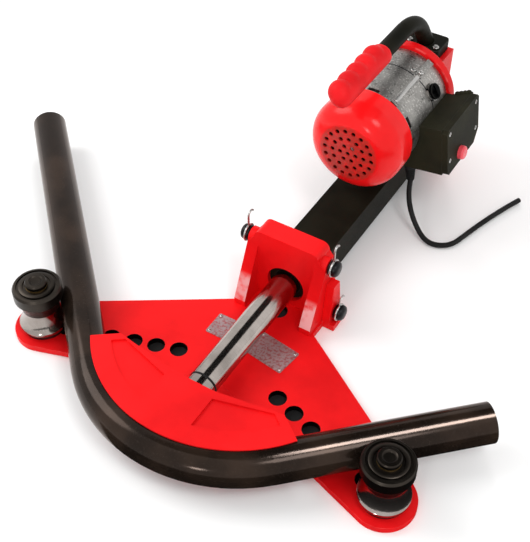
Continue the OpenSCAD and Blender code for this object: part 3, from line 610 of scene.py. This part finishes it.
# %% [markdown]
# ## Copies of the CAD nodes
# A real casting or sawn bar has no knife edges, and a rounded edge is what catches the light. The
# castings could be drawn anew, but their shapes are already right. The CAD meshes must stay as
# they are, so each visible node is copied, its loose triangles are merged, and flat faces are
# joined again.

# %% Copy a node
def settle(piece, node):
    """The piece rides with the node's body and stands in for the node, which is hidden."""
    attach(piece, body_of_node[node])
    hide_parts(node)
    return piece


def begin_edit(piece):
    """Go into edit mode on this piece alone, with all of it selected."""
    bpy.ops.object.select_all(action="DESELECT")
    piece.select_set(True)
    bpy.context.view_layer.objects.active = piece
    bpy.ops.object.mode_set(mode="EDIT")
    bpy.ops.mesh.select_mode(type="EDGE")
    bpy.ops.mesh.select_all(action="SELECT")


def copy_node(node, name):
    merge_reach, flat_angle = 0.00001, math.radians(0.5)
    piece = bpy.data.objects.new(name, NODES[node].data.copy())
    bpy.context.scene.collection.objects.link(piece)
    begin_edit(piece)
    bpy.ops.mesh.customdata_custom_splitnormals_clear()
    bpy.ops.mesh.remove_doubles(threshold=merge_reach)
    bpy.ops.mesh.dissolve_limited(angle_limit=flat_angle)
    bpy.ops.object.mode_set(mode="OBJECT")
    return piece


# %% [markdown]
# ## Rounding the edges
# The sharp edges of a copy are selected and bevelled. A Bevel modifier would do it too, but the
# operator can give the narrow new faces a second material slot. That slot becomes a mark on the
# faces, which the paints read as worn, and is then taken away. Weighted normals keep the broad
# faces flat beside their round edges.

# %% Round the edges of a copy
def soften(node, name, width):
    """A copy of the node whose edges are rounded by this width, in millimetres."""
    sharp_angle, smooth_angle = math.radians(35), math.radians(40)
    piece = copy_node(node, name)
    piece.data.materials.append(FINISH[slot_of_node[node]])
    begin_edit(piece)
    bpy.ops.mesh.select_all(action="DESELECT")
    bpy.ops.mesh.edges_select_sharp(sharpness=sharp_angle)
    bpy.ops.mesh.bevel(offset=width * MM, segments=2, affect="EDGES", clamp_overlap=True,
                       material=1)
    bpy.ops.object.mode_set(mode="OBJECT")
    wear = piece.data.attributes.new("edge_wear", "FLOAT", "FACE")
    for face in piece.data.polygons:
        wear.data[face.index].value = float(face.material_index)
        face.material_index = 0
    piece.data.materials.pop(index=1)
    bpy.ops.object.shade_smooth_by_angle(angle=smooth_angle)
    level = piece.modifiers.new("flat_faces", "WEIGHTED_NORMAL")
    level.weight = 80
    level.keep_sharp = True
    bpy.ops.object.modifier_apply(modifier=level.name)
    return settle(piece, node)


print("bevelled faces will be marked as worn")

# %% Round every casting
round_edges = {
    "base_plate": ("wing_plate", 1.0), "head": ("head_casting", 2.2),
    "cylinder_bar": ("ram_cylinder", 1.8), "former": ("former_casting", 2.5),
    "pump_block": ("pump_casting", 4.0), "rear_ring": ("motor_flange", 1.5),
    "pump_cap": ("pump_cover", 0.8), "rear_foot": ("rubber_foot", 1.5),
    "release_knob": ("release_wheel", 1.0), "oil_plug": ("filler_plug", 0.7),
    "motor_housing": ("motor_casting", 0.8), "switch_box": ("switch_case", 2.0),
    "switch_lid": ("switch_cover", 2.5), "push_button": ("red_button", 1.2),
    "gland_nut": ("ram_gland", 0.8), "left_brush_cap": ("brush_cap_low", 0.8),
    "right_brush_cap": ("brush_cap_high", 0.8), "fan_cover": ("fan_dome", 0.5),
    "left_data_plate": ("bare_plate_left", 0.2), "right_data_plate": ("bare_plate_right", 0.2),
    "ram_rod": ("polished_ram", 0.8), "pipe": ("bent_pipe", 0.8),
    "handle_tube": ("handle_bar", 0.6), "handle_foot": ("handle_shoe", 2.0),
    "left_washer": ("thrust_washer_left", 0.6), "right_washer": ("thrust_washer_right", 0.6),
}
SOFT = {node: soften(node, name, width) for node, (name, width) in round_edges.items()}
face_count = sum(len(piece.data.polygons) for piece in SOFT.values())
print("rounded", len(SOFT), "pieces,", face_count, "faces")

# %% [markdown]
# ## Highlit slopes and shaded holes
# The gussets' slopes are marked for the paint's painted highlight, found by the way they face. The
# walls of the plate's holes wear dark steel as painted shade inside the holes. They are found by
# their distance from the holes' middles, which lie evenly on a line from the head to the roller.

# %% Mark the gussets' slopes
front_facing = -0.8
least_lean, most_lean = 0.1, 0.9
mouth_half = 0.03
head_mesh = SOFT["head"].data
slope = head_mesh.attributes.new("highlit_slope", "FLOAT", "FACE")
# Faces that face the front and lean up get the painted highlight.
for face in head_mesh.polygons:
    leans = face.normal.y < front_facing and least_lean < face.normal.z < most_lean
    slope.data[face.index].value = float(leans and abs(face.center.x) > mouth_half)
print("slope faces:", sum(1 for row in slope.data if row.value))


# %% Paint shade on the walls of the holes
def middle(node):
    low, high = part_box(node)
    return (low + high) / 2


wall_reach = 11.3 * MM
wall_lean = 0.5
hole_count = 7
first_hole = Vector((64, -122)) * MM
last_hole = middle("right_roller").xy
hole_row = [first_hole.lerp(last_hole, i / (hole_count - 1)) for i in range(hole_count)]
holes = [Vector((drain_x, drain_y)) * MM]
holes += [Vector((side * hole.x, hole.y)) for side in (-1, 1) for hole in hole_row]
plate_mesh = SOFT["base_plate"].data
# The walls of the holes get dark steel: painted shade inside the holes.
plate_mesh.materials.append(FINISH["dark_steel"])
for face in plate_mesh.polygons:
    reach = min((face.center.xy - hole).length for hole in holes)
    if abs(face.normal.z) < wall_lean and reach < wall_reach:
        face.material_index = 1
shaded_wall_faces = sum(face.material_index for face in plate_mesh.polygons)
print("holes:", len(holes), "wall faces:", shaded_wall_faces)

# %% [markdown]
# ## Brush caps and the pipe's own lamp
# The two brush caps are a deeper black than the plastic of the knobs. The tube lamp is linked to
# the pipe alone: it would also brighten the rollers and the plates, which are darker in the
# photograph.

# %% Blacken the brush caps and link the tube lamp
for node in ("left_brush_cap", "right_brush_cap"):
    SOFT[node].data.materials[0] = FINISH["black_cap"]
pipe_only = bpy.data.collections.new("lit_by_tube")
pipe_only.objects.link(SOFT["pipe"])
tube.light_linking.receiver_collection = pipe_only

# %% [markdown]
# ## A lathe
# Rollers, pins and knobs come off a lathe. Spinning a profile would do, but a ring of points that
# is extruded and scaled step by step is drawn just as one draws a vase by hand. The form is made
# upright at the origin and then stood on its axis. What repeats is made once, and each copy has a
# mesh of its own.

# %% Stand a form on its axis
ORIGIN = (0, 0, 0)
box_tilt = math.radians(8)
AXIS_TURN = {
    "Z": (0, 0, 0),
    "X": (0, math.pi / 2, 0),
    "-X": (0, -math.pi / 2, 0),
    "Y": (-math.pi / 2, 0, 0),
    "boot": (0, -box_tilt, 0),
    "lid": (0, math.pi / 2 - box_tilt, 0),
    "rail": (0, math.radians(30), 0),
    "seam": (0, math.radians(21), 0),
}


def stand(piece, place, axis):
    """Stand a piece made at the origin on its place, and write the move into its mesh."""
    smooth_angle = math.radians(32)
    bpy.ops.object.select_all(action="DESELECT")
    piece.select_set(True)
    bpy.context.view_layer.objects.active = piece
    piece.rotation_euler = AXIS_TURN[axis]
    piece.location = place
    bpy.ops.object.transform_apply(location=True, rotation=True, scale=True)
    bpy.ops.object.shade_smooth_by_angle(angle=smooth_angle)
    return piece


def copy_form(form, name, place, axis="Z"):
    """Stand one copy of a form, with a mesh of its own, on its place."""
    piece = bpy.data.objects.new(name, form.data.copy())
    piece.data.name = name
    bpy.context.scene.collection.objects.link(piece)
    return stand(piece, place, axis)


def copies(form, spots):
    """Stand a copy of the form on each spot, and take the form away."""
    pieces = [copy_form(form, *spot) for spot in spots]
    bpy.data.objects.remove(form)
    return pieces


print("axes:", list(AXIS_TURN))


# %% Turn a profile
def turn(name, profile, place, axis="Z", around=64, ring=False):
    """Points are (radius, height) in millimetres; a ring closes on itself, a solid is capped."""
    bpy.ops.object.select_all(action="DESELECT")
    radius, height = profile[0]
    bpy.ops.mesh.primitive_circle_add(vertices=around, radius=radius * MM, location=ORIGIN,
                                      fill_type="NOTHING" if ring else "NGON")
    piece = bpy.context.active_object
    piece.name = name
    piece.data.name = name
    begin_edit(piece)
    bpy.ops.transform.translate(value=(0, 0, height * MM))
    for new_radius, new_height in profile[1:]:
        rise = (0, 0, (new_height - height) * MM)
        bpy.ops.mesh.extrude_region_move(TRANSFORM_OT_translate={"value": rise})
        grow = new_radius / radius
        bpy.ops.transform.resize(value=(grow, grow, 1), center_override=(0, 0, new_height * MM))
        radius, height = new_radius, new_height
    if ring:
        bpy.ops.mesh.select_all(action="DESELECT")
        bpy.ops.mesh.select_non_manifold()
        bpy.ops.mesh.bridge_edge_loops()
    bpy.ops.mesh.select_all(action="SELECT")
    bpy.ops.mesh.normals_make_consistent(inside=False)
    bpy.ops.object.mode_set(mode="OBJECT")
    return stand(piece, place, axis)


print("lathe ready")

# %% [markdown]
# ## The rollers
# Each roller is a chromed spool. Its waist is one arc, hollow enough for the largest pipe, and the
# lip is where the arc meets the flange. A seal sits in the top, between the rim and the hub. The
# upper flange and the groove's upper part are painted shade: their faces get dark steel.

# %% Draw the roller's profile
roller_low, roller_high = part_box("right_roller")
base_z = roller_low.z / MM
top_z = roller_high.z / MM
ram_z = middle("ram_rod").z / MM
bore = 11.95
flange = 27.0
waist = 20.8
hollow = 34.0
lip_round = 0.9
lip = math.degrees(math.acos((waist + hollow - flange + lip_round) / hollow))
groove_steps = 14
groove = []
for i in range(groove_steps + 1):
    angle = math.radians(-lip + 2 * lip * i / groove_steps)
    groove.append((waist + hollow - hollow * math.cos(angle), ram_z + hollow * math.sin(angle)))
foot = [(bore, base_z), (25.8, base_z), (flange, base_z + 1.2), (flange, groove[0][1] - 1)]
rim = [(flange, groove[-1][1] + 1), (flange, top_z - 3.6), (25.2, top_z - 1.2)]
seal = [(22.6, top_z - 0.9), (22.2, top_z - 2.4), (20.2, top_z - 2.4), (19.8, top_z - 0.6)]
hub = [(18.8, top_z), (15.4, top_z), (14.9, top_z - 1.1), (bore, top_z - 1.1)]
roller_profile = foot + groove + rim + seal + hub
print("groove lip at", round(lip, 1), "degrees")

# %% [markdown]
# ## The rollers' pins
# A plain steel pin goes down through each roller into the plate. Its head rests on the roller's
# hub, with a shallow dimple from the lathe in the middle. Both sides get copies of one roller and
# one pin.

# %% Draw the pin's profile
shank = [(8.7, 0.5), (9.9, 1.7), (9.9, top_z + 0.3)]
pin_head = [(11.2, top_z + 0.3), (12, top_z + 1.2), (12, top_z + 4.6), (10.9, top_z + 6.0)]
dimple = [(7.6, top_z + 6.3), (6.6, top_z + 5.7), (5.6, top_z + 4.4), (2.5, top_z + 4.1),
          (0.6, top_z + 4.1)]
pin_profile = shank + pin_head + dimple
print("pin", round(max(height for radius, height in pin_profile), 1), "mm tall")

# %% Turn the rollers and their pins
shade_above = (ram_z + 4) * MM
roller_form = turn("roller_form", roller_profile, ORIGIN, around=96, ring=True)
pin_form = turn("pin_form", pin_profile, ORIGIN, around=48)
for side in ("left", "right"):
    centre = middle(side + "_roller")
    below = (centre.x, centre.y, 0)
    roller = settle(copy_form(roller_form, side + "_bending_roller", below), side + "_roller")
    roller.data.materials.append(FINISH["chrome"])
    roller.data.materials.append(FINISH["dark_steel"])
    # Faces above this height are painted shade in dark steel; those below stay chrome.
    for face in roller.data.polygons:
        face.material_index = 1 if face.center.z > shade_above else 0
    pin = settle(copy_form(pin_form, side + "_bending_pin", below), side + "_roller_pin")
    pin.data.materials.append(FINISH["dark_steel"])
    print(side, "roller at", [round(v, 4) for v in below])
for form in (roller_form, pin_form):
    bpy.data.objects.remove(form)

# %% [markdown]
# ## The knobs of the lock pins
# Three lock pins hold the head, each with a small black knob. Shank and knob are one turned form,
# and each copy is laid on its side, pointing outwards.

# %% Turn the knobs
knob_reach = 12.3
knob_profile = [
    (5.2, -27), (6, -26.2), (6, 0.3), (7.6, 0.4), (8.9, 1.4), (9.4, 2.8), (8.2, 3.3), (8.2, 6.1),
    (9.4, 6.6), (9.3, 8.4), (8.4, 10.3), (6.6, 11.6), (4.2, 12.15), (1.2, knob_reach),
]
knob_axis = {"upper_left": "-X", "upper_right": "X", "lower_right": "X"}
knob_spots = []
for name, axis in knob_axis.items():
    low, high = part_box(name + "_lock")
    face_x = low.x + knob_reach * MM if axis == "-X" else high.x - knob_reach * MM
    spot = middle(name + "_lock")
    knob_spots.append((name + "_knob", (face_x, spot.y, spot.z), axis))
knobs = copies(turn("knob_form", knob_profile, ORIGIN, around=40), knob_spots)
for name, knob in zip(knob_axis, knobs):
    settle(knob, name + "_lock")
    knob.data.materials.append(FINISH["black_plastic"])
print("knobs:", [knob.name for knob in knobs])

# %% [markdown]
# ## The strain relief
# Where the lead leaves the switch box, a tapered rubber boot keeps it from kinking. It is turned
# like the rest, as a ring round the cord, with a few soft ribs near its flexible end.

# %% Turn the strain relief
rib_count = 5
rib_start, rib_pitch = 1.8, 3.3
rib_radius, rib_growth = 4.95, 0.36
boot_profile = [(3.9, 0), (4.6, 0.2), (4.8, 0.9)]
for rib in range(rib_count):
    start = rib_start + rib * rib_pitch
    wide = rib_radius + rib * rib_growth
    boot_profile += [(wide, start), (wide - 0.7, start + 0.6)]
    boot_profile += [(wide - 0.6, start + 1.6), (wide + 0.2, start + 2.2)]
boot_profile += [(6.6, 19.6), (7.0, 19.9), (7.5, 20.6), (7.5, 23.6), (7.2, 23.95)]
boot_profile += [(4.7, 23.95), (4.7, 27), (3.9, 27)]
boot_end = cord_points[2]
boot = settle(turn("lead_boot", boot_profile, boot_end, "boot", around=40, ring=True), "cord_gland")
boot.data.materials.append(FINISH["black_rubber"])
print("boot at", [round(v, 4) for v in boot_end])

# %% [markdown]
# ## The hand grip
# The red grip is one soft moulding with finger swells. Bevels can't round the deep creases between
# them, so the CAD copy is remeshed into small even faces and smoothed, and the swells melt into
# each other as rubber does.

# %% Melt the grip into one moulding
grip = copy_node("handle_grip", "rubber_grip")
remesh = grip.modifiers.new("even_faces", "REMESH")
remesh.mode = "VOXEL"
remesh.voxel_size = 1.0 * MM
bpy.ops.object.modifier_apply(modifier=remesh.name)
smooth = grip.modifiers.new("melt", "SMOOTH")
smooth.factor = 0.5
smooth.iterations = 14
bpy.ops.object.modifier_apply(modifier=smooth.name)
bpy.ops.object.shade_smooth()
settle(grip, "handle_grip")
print("grip faces", len(grip.data.polygons))


# %% [markdown]
# ## Slotted screws
# Slotted screws hold the switch cover, the pump's cap, the handle's shoe and the motor's brush
# frame. A head is turned like the knobs, and a bar cuts its slot by a Boolean modifier. Heads this
# small only need to catch the light, so one profile, scaled by radius and height, serves them all.

# %% Cut a slotted screw
def fix(piece, slot):
    """A small piece of the frame that wears the finish of its slot."""
    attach(piece, "frame")
    piece.data.materials.append(FINISH[slot])
    return piece


def screw_form(radius, height):
    """A screw head that stands at the origin, in millimetres."""
    slot_turn, slot_length, slot_width, slot_depth = 0.6, 2.6, 0.36, 0.9
    profile = [(radius * 0.96, -0.5), (radius, -0.3), (radius, height * 0.45),
               (radius * 0.85, height * 0.8), (radius * 0.55, height), (0.3, height)]
    piece = turn("screw_form", profile, ORIGIN, around=28)
    bpy.ops.object.select_all(action="DESELECT")
    bpy.ops.mesh.primitive_cube_add(size=1, location=(0, 0, height * MM),
                                    rotation=(0, 0, slot_turn))
    bar = bpy.context.active_object
    bar.scale = (radius * slot_length * MM, radius * slot_width * MM, height * slot_depth * MM)
    cut = piece.modifiers.new("slot", "BOOLEAN")
    cut.operation = "DIFFERENCE"
    cut.object = bar
    bpy.context.view_layer.objects.active = piece
    bpy.ops.object.modifier_apply(modifier=cut.name)
    bpy.data.objects.remove(bar)
    return piece


motor_z = middle("rotor").z / MM
print("motor axis at z", round(motor_z, 1))


# %% Find the screws' places
def on_box(x, y, z):
    """A place on the switch box, which is turned round the motor's axis."""
    rise = z - motor_z
    return Vector((x * math.cos(box_tilt) - rise * math.sin(box_tilt), y,
                   motor_z + x * math.sin(box_tilt) + rise * math.cos(box_tilt))) * MM


lid_face, lid_columns, lid_rows = 89.1, (219, 294), (93.5, 130.5)
lid_spots = [(on_box(lid_face, y, z), "lid") for y in lid_columns for z in lid_rows]

cap_radius, cap_sink = 18, 3.1
cap_ring = cap_radius * MM * math.sqrt(0.5)
cap_mid = middle("pump_cap")
cap_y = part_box("pump_cap")[0].y + cap_sink * MM
cap_spots = [((cap_mid.x + i * cap_ring, cap_y, cap_mid.z + k * cap_ring), "Y")
             for i in (-1, 1) for k in (-1, 1)]

shoe_half, shoe_depth = 17.5, 9
shoe_low, shoe_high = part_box("handle_foot")
shoe_y = shoe_low.y + shoe_depth * MM
shoe_spots = [((i * shoe_half * MM, shoe_y, shoe_high.z), "Z") for i in (-1, 1)]

brush_frame_y = 257
motor_spots = []
for axis, reach in (("rail", 58.6), ("seam", 54.8)):
    lean = AXIS_TURN[axis][1]
    spot = (reach * math.sin(lean), brush_frame_y, motor_z + reach * math.cos(lean))
    motor_spots.append((Vector(spot) * MM, axis))
print("places:", len(lid_spots + cap_spots + shoe_spots + motor_spots))

# %% Drive the screws
screw_sets = {
    "lid_screw": (screw_form(radius=3.2, height=2.0), lid_spots),
    "cap_screw": (screw_form(radius=2.8, height=2.2), cap_spots),
    "shoe_screw": (screw_form(radius=4.0, height=2.6), shoe_spots),
    "motor_screw": (screw_form(radius=3.4, height=2.4), motor_spots),
}
screw_count = 0
for name, (form, spots) in screw_sets.items():
    numbered = [(f"{name}_{screw_count + i}", *spot) for i, spot in enumerate(spots)]
    for screw in copies(form, numbered):
        fix(screw, "steel")
    screw_count += len(numbered)
print("screws", screw_count)

# %% [markdown]
# ## Rivets
# Small domed rivets hold the corners of the bare plates. One is turned and copied to all eight
# corners. The right plate lies at a slight angle, so its corners are turned with it.

# %% Set the rivets
rivet_profile = [(1.9, -0.3), (1.9, 0.25), (1.55, 0.7), (0.9, 0.95), (0.2, 1.0)]
plate_corners = {
    "left_data_plate": (16.5, 12, 0.0),
    "right_data_plate": (23, 14, math.radians(-8)),
}
rivet_spots = []
for node, (half_x, half_y, turned) in plate_corners.items():
    spot = middle(node)
    plate_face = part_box(node)[1].z
    for i in (-1, 1):
        for k in (-1, 1):
            x = i * half_x * math.cos(turned) - k * half_y * math.sin(turned)
            y = i * half_x * math.sin(turned) + k * half_y * math.cos(turned)
            place = (spot.x + x * MM, spot.y + y * MM, plate_face)
            rivet_spots.append((f"plate_rivet_{len(rivet_spots)}", place, "Z"))
for rivet in copies(turn("rivet_form", rivet_profile, ORIGIN, around=20), rivet_spots):
    fix(rivet, "steel")
print("rivets", len(rivet_spots))

# %% [markdown]
# ## The motor's rail and the shade ring on the ram
# A polished rail lies on the motor's upper rib, and a thin black ring on the ram, a little behind
# the former, is painted shade in a groove round the ram. The rail is a cube that is stretched and
# bevelled, then leaned round the motor's axis; the ring is turned, and rides with the ram.

# %% Lay the rail
rail_size = (5, 58, 2)
rail_y, rail_lift = 221, 58.2
bpy.ops.object.select_all(action="DESELECT")
bpy.ops.mesh.primitive_cube_add(size=1, location=ORIGIN)
rail = bpy.context.active_object
rail.name = "motor_rail"
begin_edit(rail)
bpy.ops.transform.resize(value=[side * MM for side in rail_size])
bpy.ops.transform.translate(value=(0, rail_y * MM, rail_lift * MM))
bpy.ops.mesh.bevel(offset=0.7 * MM, segments=3, affect="EDGES", clamp_overlap=True)
bpy.ops.object.mode_set(mode="OBJECT")
fix(stand(rail, (0, 0, motor_z * MM), "rail"), "steel")
print("rail faces", len(rail.data.polygons))

# %% Close the ring of painted shade
former_back = -182
shade_ring_set_back = 14.5
shade_ring_profile = [(16.02, 0), (16.15, 0), (16.3, 0.3), (16.3, 2.3), (16.15, 2.6), (16.02, 2.6)]
shade_ring_place = (0, (former_back + shade_ring_set_back) * MM, middle("ram_rod").z)
# A black ring standing for the shade in a groove round the ram.
shade_ring = turn("ram_groove_shade", shade_ring_profile, shade_ring_place, "Y", ring=True)
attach(shade_ring, "ram")
shade_ring.data.materials.append(FINISH["black_rubber"])
print("collar at y", round(shade_ring_place[1], 4))

# %% [markdown]
# ## The web in the wings' corner
# Under the former, the two wings meet in a flat V, and a small web fills its corner. A cube of the
# plate's thickness is cut twice, along the wings' front edges, and its edges are rounded like the
# plate's.

# %% Fill the corner between the wings
plate_top = 7.9
web_width, web_length, web_depth = 110, 20, 15
web_overlap = 0.5
wing_slope = Vector((math.cos(row_turn), math.sin(row_turn), 0))
plate_points = NODES["base_plate"].data.vertices
corner_y = min(v.co.y for v in plate_points if abs(v.co.x) < MM) / MM
web_y = corner_y - web_depth + web_length / 2
bpy.ops.object.select_all(action="DESELECT")
bpy.ops.mesh.primitive_cube_add(size=1, location=ORIGIN)
web = bpy.context.active_object
web.name = "corner_web"
begin_edit(web)
bpy.ops.transform.resize(value=(web_width * MM, web_length * MM, plate_top * MM))
bpy.ops.transform.translate(value=(0, web_y * MM, plate_top / 2 * MM))
for side in (-1, 1):
    bpy.ops.mesh.select_all(action="SELECT")
    edge_normal = Vector((-side * wing_slope.y, wing_slope.x, 0))
    bpy.ops.mesh.bisect(plane_co=(0, (corner_y + web_overlap) * MM, 0), plane_no=edge_normal,
                        use_fill=True, clear_outer=True)
bpy.ops.mesh.select_all(action="SELECT")
bpy.ops.mesh.bevel(offset=0.8 * MM, segments=2, affect="EDGES", clamp_overlap=True)
bpy.ops.object.mode_set(mode="OBJECT")
fix(stand(web, ORIGIN, "Z"), "red_paint")
print("corner at", round(corner_y, 1), "web faces", len(web.data.polygons))

# %% [markdown]
# ## Finger ridges on the switch box
# The moulded case has a row of upright ridges on its slanted back, where a hand steadies it. A
# ridge is turned as a slim round bar with a domed top, and half of it sinks into the wall.

# %% Raise the finger ridges
ridge_profile = [(3.6, 78), (3.6, 138.2), (3.3, 139.3), (2.5, 140.1), (1.3, 140.5), (0.3, 140.6)]
ridge_count = 4
back_x, back_y = 66, 290
back_run_x, back_run_y = 15, 10.5
ridge_heights = [(radius, z - motor_z) for radius, z in ridge_profile]
ridge_spots = []
for i in range(ridge_count):
    share = (i + 0.5) / ridge_count
    place = on_box(back_x + share * back_run_x, back_y + share * back_run_y, motor_z)
    ridge_spots.append((f"case_ridge_{i}", place, "boot"))
for ridge in copies(turn("ridge_form", ridge_heights, ORIGIN, around=24), ridge_spots):
    fix(ridge, "grey_plastic")
print("ridges", ridge_count)
